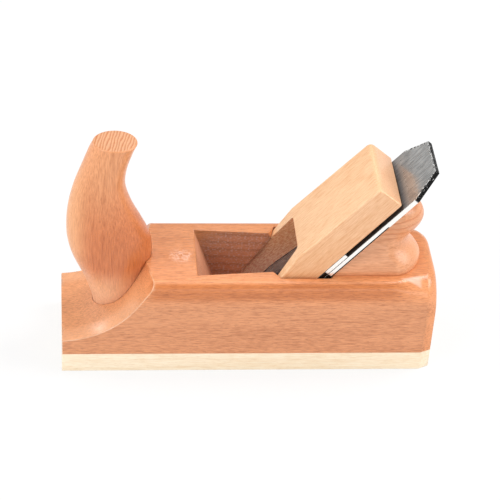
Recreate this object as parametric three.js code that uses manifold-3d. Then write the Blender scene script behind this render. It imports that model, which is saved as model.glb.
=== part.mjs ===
// Horned wooden smoothing plane with a double iron, in millimetres.
// +X runs from the toe to the heel, +Z is up, and Y = 0 is the middle of the width.
// The origin lies on the sole face, halfway along the body.

import * as THREE from 'three';
import { mergeVertices } from 'three/addons/utils/BufferGeometryUtils.js';
import Module from 'manifold-3d';

const wasm = await Module();
wasm.setup();

// ---------------------------------------------------------------- driving dimensions

// Body block, glued up from a beech stock and a hard pale sole.
const LENGTH = 220;
const WIDTH = 65;
const HEIGHT = 64;
const SOLE_THICKNESS = 13;
const SIDE_ROUND = 6.5;         // radius along the long top edges
const PALM_ROUND = 19;          // the same edges where they reach the heel
const PALM_LENGTH = 26;         // stretch over which the radius grows
const HEEL_END = 6.5;           // last stretch, where the top falls and the corners are cut
const HEEL_DROP = 4.5;          // fall of the top
const HEEL_CORNER_DEPTH = 3;    // depth of the cut on each upright corner

// Glue joint between stock and sole: long teeth that run the length of the body.
const TOOTH_COUNT = 8;
const TOOTH_HEIGHT = 3;
const TOOTH_ROOT = 1.5;         // each tooth runs down this far into the sole strip
const TOOTH_TAPER = 1;          // each flank leans in by this much
const TOOTH_LAND = 4;           // plain strip left along each side

// Low toe shelf that sweeps up in a hollow to the deck.
const SHELF_HEIGHT = 23;
const COVE_RADIUS = 54;
const COVE_LEAD = 2;            // the hollow starts this far ahead of the toe, at the sides
const COVE_ANGLE = 57;          // steepest slope, in degrees, held up to the deck
const COVE_BOW = 6;             // the hollow bows towards the toe in the middle
const COVE_BOW_POWER = 1.5;

// Bed, mouth and throat.
const BED_ANGLE = 50;           // degrees from the sole
const MOUTH_FROM_HEEL = 116.5;  // to the line where the bed meets the sole face
const MOUTH_GAP = 1.6;          // cutting edge to the front wall
const FRONT_WALL_LEAN = 21;     // degrees from upright
const WEAR_HEIGHT = 24;         // below this the front wall stands steeper
const WEAR_LEAN = 10;           // degrees from upright
const THROAT_FRONT_WIDTH = 44;  // between the cheeks, at the front edge on the deck
const ABUTMENT_GAP = 36.4;      // between the tips of the abutments
const ABUTMENT_BEVEL = 4.4;     // cut off each tip at the deck, along X
const ABUTMENT_BEVEL_DEPTH = 3.4; // and downwards

// Blade pair.
const IRON_WIDTH = 48;
const IRON_LENGTH = 174.5;
const IRON_THICKNESS = 3;
const IRON_BEVEL = 28;          // degrees
const IRON_SHOULDER = 17.5;     // length of the tapered top
const IRON_TOP_WIDTH = 30;
const EDGE_LIFT = 0.3;          // cutting edge above the sole face
const SLOT_WIDTH = 11;
const SLOT_TRAVEL = 60;         // between the centres of its two round ends
const KEYHOLE_DIAMETER = 18;
const CAP_LENGTH = 101;
const CAP_THICKNESS = 2.4;
const CAP_SETBACK = 1.2;        // cutting edge to the nose of the cap iron
const CAP_NOSE_LENGTH = 14;     // part hollowed below, behind the nose
const CAP_NOSE_HOLLOW = 2;      // pull of the hollow's curve; its depth is half of this
const CAP_NOSE_ROUND = 5;       // length over which the top bends down to the nose

// Screw and nut that clamp the pair.
const SCREW_FROM_EDGE = 51;
const SCREW_SHANK = 8;
const SCREW_HEAD = 15;
const SCREW_HEAD_HEIGHT = 3.5;
const SCREW_EDGE_CUT = 0.9;
const DRIVER_SLOT_WIDTH = 2;
const DRIVER_SLOT_DEPTH = 1.6;
const NUT_FLANGE = 16;
const NUT_FLANGE_HEIGHT = 3.5;
const NUT_EDGE_CUT = 0.9;
const NUT_STEM = 11.5;

// Wedge, forked at its lower end.
const WEDGE_WIDTH = 48;
const WEDGE_END_FROM_EDGE = 148.5;
const WEDGE_CROTCH_FROM_EDGE = 84;
const WEDGE_TIP_FROM_EDGE = 17;
const WEDGE_TIP_BEVEL = 12;     // length of the slope at the prong tips
const WEDGE_TIP_THICKNESS = 0.8;
const WEDGE_END_THICKNESS = 17.3;
const WEDGE_CROTCH_THICKNESS = 19.1;
const WEDGE_ANGLE = 8.5;        // prong front against the bed, in degrees
const WEDGE_END_ROUND = 4;
const FORK_WIDTH = 30;          // at the crotch
const FORK_MOUTH_WIDTH = 42.6;  // between the parallel lower ends of the prongs
const FORK_FLARE_LENGTH = 36;   // from the crotch to where the prongs run parallel
const FORK_CORNER = 2.5;        // rounding of the crotch's corners

// Horn: outline rows of [height above its seat, front X from the toe, rear X, half thickness].
const HORN_SEAT_ABOVE_SHELF = 4;
const HORN_ROWS = [
  [0, 18.6, 37, 8],
  [6, 17.8, 41, 11.6],
  [13, 16, 45, 14.6],
  [24, 12, 49.5, 16.6],
  [38, 5.6, 52.4, 17.4],
  [50, 2.7, 51.2, 17.2],
  [61, 2.2, 46.2, 16.2],
  [73, 3.2, 40, 14.4],
  [86, 6, 35.8, 12.6],
  [98, 10, 36.4, 11.6],
  [109, 13.8, 39.6, 11.2],
  [116, 16.3, 42, 11.2],
];
const HORN_LEVELS = 30;
const HORN_TOP_ROUND = 1.2;
const HORN_DOWEL = 12;
const HORN_DOWEL_IN_STOCK = 7;
const HORN_DOWEL_IN_HORN = 16;

// Hand rest behind the iron: rows of [height above the deck, back from the heel, half width].
const REST_ROWS = [
  [0, 8.4, 22.8],
  [3, 8.4, 22.8],
  [6.5, 10.6, 22],
  [10, 13.8, 20.6],
  [13.5, 16.2, 18.7],
  [17.5, 16.4, 16.6],
  [21.5, 13, 15.5],
  [25.5, 10, 15.8],
  [30, 8.7, 16.8],
  [34.5, 9.9, 17.2],
  [38, 12.6, 17],
  [41, 16.6, 16.2],
  [43, 21, 15],
];
const REST_LEVELS = 30;
const REST_BACK_LENGTH = 16.5;  // the sides run straight up to here and then round the back
const REST_BACK_POWER = 1.8;    // 2 is a half round; less gives a more pointed back
const REST_DOWEL = 6;
const REST_DOWEL_IN_STOCK = 12;
const REST_DOWEL_IN_REST = 9;
const REST_DOWEL_FROM_HEEL = 24;
const REST_DOWEL_SPACING = 20;

// Strike button in the heel.
const BUTTON_DIAMETER = 20;
const BUTTON_IN_STOCK = 12;
const BUTTON_DOME = 2.8;
const BUTTON_HEIGHT = 37;       // centre above the sole face

// Clearances.
const BED_CLEARANCE = 0.3;      // between the bed, the iron, the cap iron and the wedge
const SIDE_CLEARANCE = 1;       // between the iron and the walls of its slot
const FIT_CLEARANCE = 0.3;      // between pieces that are cut to one another
const DOWEL_CLEARANCE = 0.2;    // round a dowel
const DOWEL_END_GAP = 0.8;      // over a dowel's end
const SCREW_CLEARANCE = 0.3;    // round the screw's shank and the nut's stem
const GROOVE_SIDE_CLEARANCE = 1;
const GROOVE_DEPTH_CLEARANCE = 0.8;
const GROOVE_END_CLEARANCE = 3;

// How far a cutting tool runs past the piece that it cuts.
const OVERRUN = 10;

// Facets.
const ROUND_STEPS = 10;         // along a quarter round
const TURN_STEPS = 32;          // round a turned piece
const HORN_STEPS = 28;          // round a section of the horn
const COVE_STEPS = 12;          // across the width of the hollow
const COVE_ARC_STEPS = 16;      // along the hollow
const MERGE_TOLERANCE = 1e-4;   // points closer than this are one point

// ---------------------------------------------------------------- places worked out

const radians = THREE.MathUtils.degToRad;
const toe = -LENGTH / 2;
const heel = LENGTH / 2;
const halfWidth = WIDTH / 2;
const bedAngle = radians(BED_ANGLE);
const bedFootX = heel - MOUTH_FROM_HEEL;

// Heights above the bed of the faces that are stacked on it.
const ironBack = BED_CLEARANCE;
const ironFront = ironBack + IRON_THICKNESS;
const capBack = ironFront + BED_CLEARANCE;
const capFront = capBack + CAP_THICKNESS;
const wedgeBack = capFront + BED_CLEARANCE;

// Along the bed, from its foot: the cutting edge is the iron's front lower arris.
const edgeAlong = (EDGE_LIFT - ironFront * Math.cos(bedAngle)) / Math.sin(bedAngle);
const ironTop = edgeAlong + IRON_LENGTH;
const screwAlong = edgeAlong + SCREW_FROM_EDGE;
const wedgeCrotch = edgeAlong + WEDGE_CROTCH_FROM_EDGE;
const wedgeTip = edgeAlong + WEDGE_TIP_FROM_EDGE;
const wedgeEnd = edgeAlong + WEDGE_END_FROM_EDGE;
const wedgeCrotchFront = wedgeBack + WEDGE_CROTCH_THICKNESS;
const wellWidth = IRON_WIDTH + 2 * SIDE_CLEARANCE;

// A frame on the bed: x climbs the bed, z stands off it towards the toe.
const bedMatrix = new THREE.Matrix4()
  .makeRotationY(-bedAngle)
  .setPosition(bedFootX, 0, 0);
const onBed = (along, off) => new THREE.Vector3(along, 0, off).applyMatrix4(bedMatrix);

const edge = onBed(edgeAlong, ironFront);
const frontWallFootX = edge.x - MOUTH_GAP + edge.z * Math.tan(radians(WEAR_LEAN));
const frontWallX = (z) => frontWallFootX
  - Math.min(z, WEAR_HEIGHT) * Math.tan(radians(WEAR_LEAN))
  - Math.max(0, z - WEAR_HEIGHT) * Math.tan(radians(FRONT_WALL_LEAN));

const hornSeat = SHELF_HEIGHT + HORN_SEAT_ABOVE_SHELF;
const restDowelRearX = heel - REST_DOWEL_FROM_HEEL;
const restDowelFrontX = restDowelRearX - REST_DOWEL_SPACING;

// ---------------------------------------------------------------- solids

function toSolid(geometry) {
  const bare = geometry.index ? geometry.toNonIndexed() : geometry.clone();
  bare.deleteAttribute('normal');
  bare.deleteAttribute('uv');
  const merged = mergeVertices(bare, MERGE_TOLERANCE);
  return new wasm.Manifold(new wasm.Mesh({
    numProp: 3,
    vertProperties: new Float32Array(merged.attributes.position.array),
    triVerts: new Uint32Array(merged.index.array),
  }));
}

function toGeometry(solid) {
  const mesh = solid.getMesh();
  const geometry = new THREE.BufferGeometry();
  geometry.setAttribute('position', new THREE.BufferAttribute(mesh.vertProperties, 3));
  geometry.setIndex(new THREE.BufferAttribute(mesh.triVerts, 1));
  return geometry;
}

const cut = (body, ...tools) => tools.reduce((left, tool) => left.subtract(tool), body);
const join = (first, ...others) => others.reduce((sum, other) => sum.add(other), first);

/** A closed solid through equal-length outlines; place(u, v, i) puts outline i in space. */
function loft(outlines, place) {
  const count = outlines[0].length;
  const last = outlines.length - 1;
  const points = outlines.flatMap((outline, i) => outline.map(([u, v]) => place(u, v, i)));
  const index = [];
  for (let i = 0; i < last; i += 1) {
    for (let j = 0; j < count; j += 1) {
      const a = i * count + j;
      const b = i * count + (j + 1) % count;
      index.push(a, b, b + count, a, b + count, a + count);
    }
  }
  const cap = (outline) => THREE.ShapeUtils.triangulateShape(
    outline.map(([u, v]) => new THREE.Vector2(u, v)),
    [],
  );
  cap(outlines[0]).forEach(([a, b, c]) => index.push(a, c, b));
  cap(outlines[last]).forEach((face) => index.push(...face.map((k) => k + last * count)));
  const geometry = new THREE.BufferGeometry().setFromPoints(points);
  geometry.setIndex(index);
  return toSolid(geometry);
}

const alongX = (xs) => (y, z, i) => new THREE.Vector3(xs[i], y, z);
const alongY = (ys) => (z, x, i) => new THREE.Vector3(x, ys[i], z);
const alongZ = (zs) => (x, y, i) => new THREE.Vector3(x, y, zs[i]);

function outlineShape(points) {
  return new THREE.Shape(points.map(([x, y]) => new THREE.Vector2(x, y)));
}

function extruded(shape, depth) {
  return new THREE.ExtrudeGeometry(shape, {
    depth,
    bevelEnabled: false,
    curveSegments: ROUND_STEPS,
  });
}

/** An XZ outline carried across the width, centred on Y = 0. */
function acrossWidth(shape, width) {
  return extruded(shape, width).rotateX(Math.PI / 2).translate(0, width / 2, 0);
}

/** An XY outline carried up from z = bottom to z = top. */
function upright(shape, bottom, top) {
  return extruded(shape, top - bottom).translate(0, 0, bottom);
}

/** A turned piece on the Z axis, from [radius, height] points that start and end on it. */
function turned(profile) {
  const points = profile.map(([radius, height]) => new THREE.Vector2(radius, height));
  return new THREE.LatheGeometry(points, TURN_STEPS);
}

const turnedUpright = (profile) => turned(profile).rotateX(Math.PI / 2);

function peg(radius, bottom, top) {
  return turnedUpright([[0, bottom], [radius, bottom], [radius, top], [0, top]]);
}

/** Points of a smooth curve through rows of [height, value, ...], one for each level. */
function smoothRows(rows, levels) {
  const columns = rows[0].length - 1;
  const curves = Array.from({ length: columns }, (_, k) => new THREE.SplineCurve(
    rows.map((row) => new THREE.Vector2(row[0], row[k + 1])),
  ));
  return Array.from({ length: levels + 1 }, (_, i) => {
    const at = curves.map((curve) => curve.getPoint(i / levels));
    return [at[0].x, ...at.map((point) => point.y)];
  });
}

// ---------------------------------------------------------------- body block

/** 0 ahead of the last stretch of this length, growing to 1 at the heel. */
const towardsHeel = (x, length) => Math.max(0, 1 - (heel - x) / length);

/** Outline across the block at x: straight sides, rounded top edges, level top. */
function blockSection(x) {
  const end = towardsHeel(x, HEEL_END);
  const half = halfWidth - HEEL_CORNER_DEPTH * end;
  const top = HEIGHT - HEEL_DROP * (1 - Math.sqrt(1 - end ** 2));
  const radius = SIDE_ROUND + (PALM_ROUND - SIDE_ROUND) * towardsHeel(x, PALM_LENGTH);
  const side = Array.from({ length: ROUND_STEPS + 1 }, (_, k) => {
    const turn = Math.PI / 2 * k / ROUND_STEPS;
    return [half - radius * (1 - Math.cos(turn)), top - radius * (1 - Math.sin(turn))];
  });
  const right = [[half, SOLE_THICKNESS], ...side];
  const left = right.map(([y, z]) => [-y, z]).reverse();
  return [...right, ...left];
}

function bodyBlock() {
  const end = Array.from({ length: ROUND_STEPS + 1 }, (_, k) => (
    heel - HEEL_END * (1 - Math.sin(Math.PI / 2 * k / ROUND_STEPS))
  ));
  const stations = [toe, heel - PALM_LENGTH, ...end];
  return loft(stations.map(blockSection), alongX(stations));
}

/** What is taken away over the toe: a hollow that bows forward in the middle. */
function coveTool() {
  const steepest = radians(COVE_ANGLE);
  const centreZ = SHELF_HEIGHT + COVE_RADIUS;
  const top = HEIGHT + OVERRUN;
  const outline = (across) => {
    const share = Math.min(1, Math.abs(across) / halfWidth) ** COVE_BOW_POWER;
    const startX = toe - COVE_LEAD - COVE_BOW * (1 - share);
    const arc = Array.from({ length: COVE_ARC_STEPS + 1 }, (_, k) => {
      const turn = steepest * k / COVE_ARC_STEPS;
      return [centreZ - COVE_RADIUS * Math.cos(turn), startX + COVE_RADIUS * Math.sin(turn)];
    });
    const [endZ, endX] = arc[arc.length - 1];
    const topX = endX + (top - endZ) / Math.tan(steepest);
    const ahead = toe - OVERRUN - COVE_LEAD - COVE_BOW;
    return [[SHELF_HEIGHT, ahead], [top, ahead], [top, topX], ...arc.reverse()];
  };
  const reach = halfWidth + OVERRUN;
  const inner = Array.from({ length: COVE_STEPS + 1 }, (_, k) => (
    halfWidth * (2 * k / COVE_STEPS - 1)
  ));
  const stations = [-reach, ...inner, reach];
  return loft(stations.map(outline), alongY(stations));
}

/** The teeth of the glue joint; grown makes the grooves that take them. */
function jointTeeth(grown, over) {
  const pitch = (WIDTH - 2 * TOOTH_LAND) / TOOTH_COUNT;
  const foot = pitch / 2 + grown;
  const tip = foot - 2 * TOOTH_TAPER;
  const top = SOLE_THICKNESS + TOOTH_HEIGHT + grown;
  const bottom = SOLE_THICKNESS - TOOTH_ROOT;
  const stations = [toe - over, heel + over];
  const teeth = Array.from({ length: TOOTH_COUNT }, (_, k) => {
    const middle = (k + 0.5 - TOOTH_COUNT / 2) * pitch;
    const outline = [
      [middle - foot / 2, bottom],
      [middle + foot / 2, bottom],
      [middle + foot / 2, SOLE_THICKNESS],
      [middle + tip / 2, top],
      [middle - tip / 2, top],
      [middle - foot / 2, SOLE_THICKNESS],
    ];
    return loft([outline, outline], alongX(stations));
  });
  return join(...teeth);
}

/** The space between the front wall and the bed, less the two cheeks and their abutments. */
function wellTool() {
  const top = HEIGHT + OVERRUN;
  const bottom = -MOUTH_GAP;
  const bed = (z) => bedFootX + z / Math.tan(bedAngle);
  const space = toSolid(acrossWidth(outlineShape([
    [frontWallX(bottom), bottom],
    [bed(bottom), bottom],
    [bed(top), top],
    [frontWallX(top), top],
    [frontWallX(WEAR_HEIGHT), WEAR_HEIGHT],
  ]), wellWidth));
  return cut(space, cheek(1), cheek(-1));
}

/** Where an abutment's root stands at height z: a clearance ahead of the wedge's front. */
function abutmentX(z) {
  const lean = bedAngle + radians(WEDGE_ANGLE);
  const bend = onBed(wedgeCrotch, wedgeCrotchFront);
  const standoff = FIT_CLEARANCE / Math.sin(lean);
  return bend.x - (bend.z - z) / Math.tan(lean) - standoff;
}

/** One cheek, with the abutment at its rear end, on the side given by 1 or -1. */
function cheek(side) {
  const frontX = frontWallX(HEIGHT);
  const rootX = abutmentX(HEIGHT);
  const slope = (THROAT_FRONT_WIDTH - ABUTMENT_GAP) / 2 / (rootX - frontX);
  const half = (x) => THROAT_FRONT_WIDTH / 2 - slope * (x - frontX);
  const outer = halfWidth + OVERRUN;
  const outline = (z) => {
    const rearX = abutmentX(z);
    const points = [[toe, half(toe)], [rearX, half(rearX)], [rearX, outer], [toe, outer]];
    return side > 0 ? points : points.map(([x, y]) => [x, -y]).reverse();
  };
  const levels = [0, HEIGHT + 2 * OVERRUN];
  const aheadX = rootX - ABUTMENT_BEVEL;
  const lowZ = HEIGHT - ABUTMENT_BEVEL_DEPTH;
  const lowX = abutmentX(lowZ);
  const bevel = wasm.Manifold.hull([
    [aheadX, side * half(aheadX), HEIGHT],
    [rootX, side * wellWidth / 2, HEIGHT],
    [lowX, side * half(lowX), lowZ],
    [rootX + OVERRUN, 0, HEIGHT + OVERRUN],
  ]);
  return cut(loft(levels.map(outline), alongZ(levels)), bevel);
}

/** Groove down the bed for the screw's head, open at the top. */
function screwGroove() {
  const half = SCREW_HEAD / 2 + GROOVE_SIDE_CLEARANCE;
  const depth = SCREW_HEAD_HEIGHT + GROOVE_DEPTH_CLEARANCE;
  const end = screwAlong - GROOVE_END_CLEARANCE;
  const shape = new THREE.Shape();
  shape.moveTo(ironTop, -half);
  shape.lineTo(ironTop, half);
  shape.lineTo(end, half);
  shape.absarc(end, 0, half, Math.PI / 2, -Math.PI / 2, false);
  shape.closePath();
  return toSolid(upright(shape, -depth, BED_CLEARANCE).applyMatrix4(bedMatrix));
}

// ---------------------------------------------------------------- fixed wooden pieces

/** The horn's outer form above its seat; grown opens it up into the seat's pocket. */
function hornForm(grown) {
  const rows = smoothRows(HORN_ROWS, HORN_LEVELS);
  const ring = ([, front, rear, thick], inset) => {
    const middle = toe + (front + rear) / 2;
    const long = (rear - front) / 2 + grown - inset;
    const wide = thick + grown - inset;
    return Array.from({ length: HORN_STEPS }, (_, k) => {
      const turn = 2 * Math.PI * k / HORN_STEPS;
      return [middle + long * Math.cos(turn), wide * Math.sin(turn)];
    });
  };
  const last = rows[rows.length - 1];
  const heights = rows.map(([height]) => hornSeat + height);
  const outlines = rows.map((row) => ring(row, 0));
  heights[heights.length - 1] -= HORN_TOP_ROUND;
  outlines.push(ring(last, HORN_TOP_ROUND));
  heights.push(hornSeat + last[0]);
  return loft(outlines, alongZ(heights));
}

const hornDowelX = toe + (HORN_ROWS[0][1] + HORN_ROWS[0][2]) / 2;

function makeHorn() {
  const hole = peg(
    HORN_DOWEL / 2 + DOWEL_CLEARANCE,
    hornSeat - OVERRUN,
    hornSeat + HORN_DOWEL_IN_HORN + DOWEL_END_GAP,
  );
  return cut(hornForm(0), toSolid(hole.translate(hornDowelX, 0, 0)));
}

const hornDowelBottom = hornSeat - HORN_DOWEL_IN_STOCK;

function makeHornDowel() {
  const top = hornSeat + HORN_DOWEL_IN_HORN;
  return toSolid(peg(HORN_DOWEL / 2, hornDowelBottom, top).translate(hornDowelX, 0, 0));
}

const restDowelBottom = HEIGHT - REST_DOWEL_IN_STOCK;

function restDowelHole(x) {
  const top = HEIGHT + REST_DOWEL_IN_REST + DOWEL_END_GAP;
  return toSolid(peg(REST_DOWEL / 2 + DOWEL_CLEARANCE, restDowelBottom, top).translate(x, 0, 0));
}

function makeRestDowel(x) {
  const top = HEIGHT + REST_DOWEL_IN_REST;
  return toSolid(peg(REST_DOWEL / 2, restDowelBottom, top).translate(x, 0, 0));
}

/** Rest with a rounded back, cut off along the bed and grooved for the screw's head. */
function makeHandRest() {
  const rows = smoothRows(REST_ROWS, REST_LEVELS);
  const power = 2 / REST_BACK_POWER;
  const outline = ([, fromHeel, half]) => {
    const back = Array.from({ length: TURN_STEPS + 1 }, (_, k) => {
      const turn = Math.PI * (k / TURN_STEPS - 0.5);
      const inset = REST_BACK_LENGTH * (1 - Math.cos(turn) ** power);
      return [
        heel - fromHeel - inset,
        half * Math.sign(turn) * Math.abs(Math.sin(turn)) ** power,
      ];
    });
    return [[bedFootX, -half], ...back, [bedFootX, half]];
  };
  const heights = rows.map(([height]) => HEIGHT + height);
  const form = loft(rows.map(outline), alongZ(heights));
  const half = halfWidth + OVERRUN;
  const overBed = toSolid(upright(outlineShape([
    [-OVERRUN, -half],
    [2 * ironTop, -half],
    [2 * ironTop, half],
    [-OVERRUN, half],
  ]), 0, 2 * HEIGHT).applyMatrix4(bedMatrix));
  const dowelHoles = [restDowelHole(restDowelFrontX), restDowelHole(restDowelRearX)];
  return cut(form, overBed, screwGroove(), ...dowelHoles);
}

function buttonForm(grown, dome) {
  const radius = BUTTON_DIAMETER / 2 + grown;
  const round = Array.from({ length: ROUND_STEPS + 1 }, (_, k) => {
    const turn = Math.PI / 2 * k / ROUND_STEPS;
    return [radius * Math.cos(turn), dome * Math.sin(turn)];
  });
  return turned([[0, -BUTTON_IN_STOCK], [radius, -BUTTON_IN_STOCK], ...round])
    .rotateZ(-Math.PI / 2)
    .translate(heel, 0, BUTTON_HEIGHT);
}

function makeStock() {
  const hornHole = peg(HORN_DOWEL / 2 + DOWEL_CLEARANCE, hornDowelBottom, hornSeat + OVERRUN);
  return cut(
    bodyBlock(),
    coveTool(),
    wellTool(),
    screwGroove(),
    jointTeeth(FIT_CLEARANCE, OVERRUN),
    hornForm(FIT_CLEARANCE),
    toSolid(hornHole.translate(hornDowelX, 0, 0)),
    toSolid(buttonForm(DOWEL_CLEARANCE, OVERRUN)),
    restDowelHole(restDowelFrontX),
    restDowelHole(restDowelRearX),
  );
}

function makeSole() {
  const corner = halfWidth - HEEL_CORNER_DEPTH;
  const plan = outlineShape([
    [toe, -halfWidth],
    [heel - HEEL_END, -halfWidth],
    [heel, -corner],
    [heel, corner],
    [heel - HEEL_END, halfWidth],
    [toe, halfWidth],
  ]);
  const strip = toSolid(upright(plan, 0, SOLE_THICKNESS));
  return cut(join(strip, jointTeeth(0, 0)), wellTool());
}

// ---------------------------------------------------------------- pieces on the bed

/** Blade: bevelled below, shouldered at the top, with a keyhole slot for the screw. */
function makeIron() {
  const bevelRun = IRON_THICKNESS / Math.tan(radians(IRON_BEVEL));
  const profile = toSolid(acrossWidth(outlineShape([
    [edgeAlong, ironFront],
    [edgeAlong + bevelRun, ironBack],
    [ironTop, ironBack],
    [ironTop, ironFront],
  ]), IRON_WIDTH));
  const half = IRON_WIDTH / 2;
  const plan = outlineShape([
    [edgeAlong - OVERRUN, -half],
    [ironTop - IRON_SHOULDER, -half],
    [ironTop, -IRON_TOP_WIDTH / 2],
    [ironTop, IRON_TOP_WIDTH / 2],
    [ironTop - IRON_SHOULDER, half],
    [edgeAlong - OVERRUN, half],
  ]);
  const slotStart = screwAlong - (SLOT_WIDTH - SCREW_SHANK) / 2 + SCREW_CLEARANCE;
  const slotEnd = slotStart + SLOT_TRAVEL;
  const slotRadius = SLOT_WIDTH / 2;
  const keyRadius = KEYHOLE_DIAMETER / 2;
  const meet = Math.asin(slotRadius / keyRadius);
  const slot = new THREE.Path();
  slot.absarc(slotStart, 0, slotRadius, Math.PI / 2, -Math.PI / 2, false);
  slot.absarc(slotEnd, 0, keyRadius, Math.PI + meet, Math.PI - meet, false);
  slot.closePath();
  plan.holes.push(slot);
  return profile.intersect(toSolid(upright(plan, 0, ironFront + OVERRUN)));
}

/** Cap iron: a flat plate, hollowed below so that only its nose bears on the blade. */
function makeCapIron() {
  const nose = edgeAlong + CAP_SETBACK;
  const flat = nose + CAP_NOSE_LENGTH;
  const top = nose + CAP_LENGTH;
  const shape = new THREE.Shape();
  shape.moveTo(nose, capBack);
  shape.quadraticCurveTo((nose + flat) / 2, capBack + CAP_NOSE_HOLLOW, flat, capBack);
  shape.lineTo(top, capBack);
  shape.lineTo(top, capFront);
  shape.lineTo(nose + CAP_NOSE_ROUND, capFront);
  shape.quadraticCurveTo(nose, capFront, nose, capBack);
  shape.closePath();
  const hole = peg(NUT_STEM / 2 + SCREW_CLEARANCE, 0, capFront + OVERRUN);
  return cut(toSolid(acrossWidth(shape, IRON_WIDTH)), toSolid(hole.translate(screwAlong, 0, 0)));
}

/** Nut: a flange on the cap iron's face and a stem through it, bored for the screw. */
function makeCapNut() {
  const bore = SCREW_SHANK / 2 + SCREW_CLEARANCE;
  const seat = capFront + BED_CLEARANCE;
  const top = seat + NUT_FLANGE_HEIGHT;
  const profile = [
    [bore, capBack],
    [NUT_STEM / 2, capBack],
    [NUT_STEM / 2, seat],
    [NUT_FLANGE / 2, seat],
    [NUT_FLANGE / 2, top - NUT_EDGE_CUT],
    [NUT_FLANGE / 2 - NUT_EDGE_CUT, top],
    [bore, top],
    [bore, capBack],
  ];
  return toSolid(turnedUpright(profile));
}

/** Screw: a broad slotted head level with the bed and a shank up into the nut. */
function makeCapScrew() {
  const top = capFront + BED_CLEARANCE + NUT_FLANGE_HEIGHT;
  const body = toSolid(turnedUpright([
    [0, -SCREW_HEAD_HEIGHT],
    [SCREW_HEAD / 2 - SCREW_EDGE_CUT, -SCREW_HEAD_HEIGHT],
    [SCREW_HEAD / 2, SCREW_EDGE_CUT - SCREW_HEAD_HEIGHT],
    [SCREW_HEAD / 2, 0],
    [SCREW_SHANK / 2, 0],
    [SCREW_SHANK / 2, top - SCREW_EDGE_CUT],
    [SCREW_SHANK / 2 - SCREW_EDGE_CUT, top],
    [0, top],
  ]));
  const slot = new THREE.BoxGeometry(DRIVER_SLOT_WIDTH, 2 * SCREW_HEAD, 2 * DRIVER_SLOT_DEPTH)
    .translate(0, 0, -SCREW_HEAD_HEIGHT);
  return cut(body, toSolid(slot));
}

/** The opening between the prongs, flared from the crotch down to where they run parallel. */
function forkTool() {
  const half = FORK_WIDTH / 2;
  const mouthHalf = FORK_MOUTH_WIDTH / 2;
  const flare = (mouthHalf - half) * FORK_CORNER / FORK_FLARE_LENGTH;
  const shape = new THREE.Shape();
  shape.moveTo(wedgeTip - OVERRUN, mouthHalf);
  shape.lineTo(wedgeTip - OVERRUN, -mouthHalf);
  shape.lineTo(wedgeCrotch - FORK_FLARE_LENGTH, -mouthHalf);
  shape.lineTo(wedgeCrotch - FORK_CORNER, -half - flare);
  shape.quadraticCurveTo(wedgeCrotch, -half, wedgeCrotch, FORK_CORNER - half);
  shape.lineTo(wedgeCrotch, half - FORK_CORNER);
  shape.quadraticCurveTo(wedgeCrotch, half, wedgeCrotch - FORK_CORNER, half + flare);
  shape.lineTo(wedgeCrotch - FORK_FLARE_LENGTH, mouthHalf);
  shape.closePath();
  return toSolid(upright(shape, 0, wedgeCrotchFront + OVERRUN));
}

/** Wedge: thick above, with two prongs below that run down behind the abutments. */
function makeWedge() {
  const endFront = wedgeBack + WEDGE_END_THICKNESS;
  const slopeStart = wedgeTip + WEDGE_TIP_BEVEL;
  const slopeFront = wedgeCrotchFront - (wedgeCrotch - slopeStart) * Math.tan(radians(WEDGE_ANGLE));
  const shape = new THREE.Shape();
  shape.moveTo(wedgeTip, wedgeBack);
  shape.lineTo(wedgeEnd, wedgeBack);
  shape.lineTo(wedgeEnd, endFront - WEDGE_END_ROUND);
  shape.quadraticCurveTo(wedgeEnd, endFront, wedgeEnd - WEDGE_END_ROUND, endFront);
  shape.lineTo(wedgeCrotch, wedgeCrotchFront);
  shape.lineTo(slopeStart, slopeFront);
  shape.lineTo(wedgeTip, wedgeBack + WEDGE_TIP_THICKNESS);
  shape.closePath();
  return cut(toSolid(acrossWidth(shape, WEDGE_WIDTH)), forkTool());
}

// ---------------------------------------------------------------- materials and assembly

const finish = (color, roughness, metalness) => (
  new THREE.MeshStandardMaterial({ color, roughness, metalness })
);

const steamedBeech = () => finish('#d99c6c', 0.5, 0);
const hornBeech = () => finish('#dda06f', 0.5, 0);
const paleHornbeam = () => finish('#f0dfbb', 0.55, 0);
const wedgeBeech = () => finish('#eec491', 0.55, 0);
const groundSteel = () => finish('#a3a4a6', 0.35, 0.9);
const darkSteel = () => finish('#55565a', 0.45, 0.85);

function piece(name, solid, material) {
  const mesh = new THREE.Mesh(toGeometry(solid), material);
  mesh.name = name;
  return mesh;
}

const plane = new THREE.Group();
plane.add(
  piece('stock', makeStock(), steamedBeech()),
  piece('sole', makeSole(), paleHornbeam()),
  piece('horn', makeHorn(), hornBeech()),
  piece('horn_dowel', makeHornDowel(), wedgeBeech()),
  piece('hand_rest', makeHandRest(), hornBeech()),
  piece('rest_dowel_front', makeRestDowel(restDowelFrontX), wedgeBeech()),
  piece('rest_dowel_rear', makeRestDowel(restDowelRearX), wedgeBeech()),
  piece('strike_button', toSolid(buttonForm(0, BUTTON_DOME)), paleHornbeam()),
);

const onTheBed = new THREE.Group();
onTheBed.applyMatrix4(bedMatrix);
onTheBed.add(
  piece('iron', makeIron(), groundSteel()),
  piece('cap_iron', makeCapIron(), darkSteel()),
  piece('wedge', makeWedge(), wedgeBeech()),
);
const clamp = new THREE.Group();
clamp.position.set(screwAlong, 0, 0);
clamp.add(
  piece('cap_nut', makeCapNut(), darkSteel()),
  piece('cap_screw', makeCapScrew(), groundSteel()),
);
onTheBed.add(clamp);
plane.add(onTheBed);

export default plane;
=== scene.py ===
# Horned wooden smoothing plane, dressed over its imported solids.
# Lengths are metres. X runs from the toe to the heel, Z is up, and the near side is -Y.

import math
from functools import cached_property

import bmesh
import bpy
import numpy as np
from mathutils import Matrix, Vector
from mathutils.bvhtree import BVHTree


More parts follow.
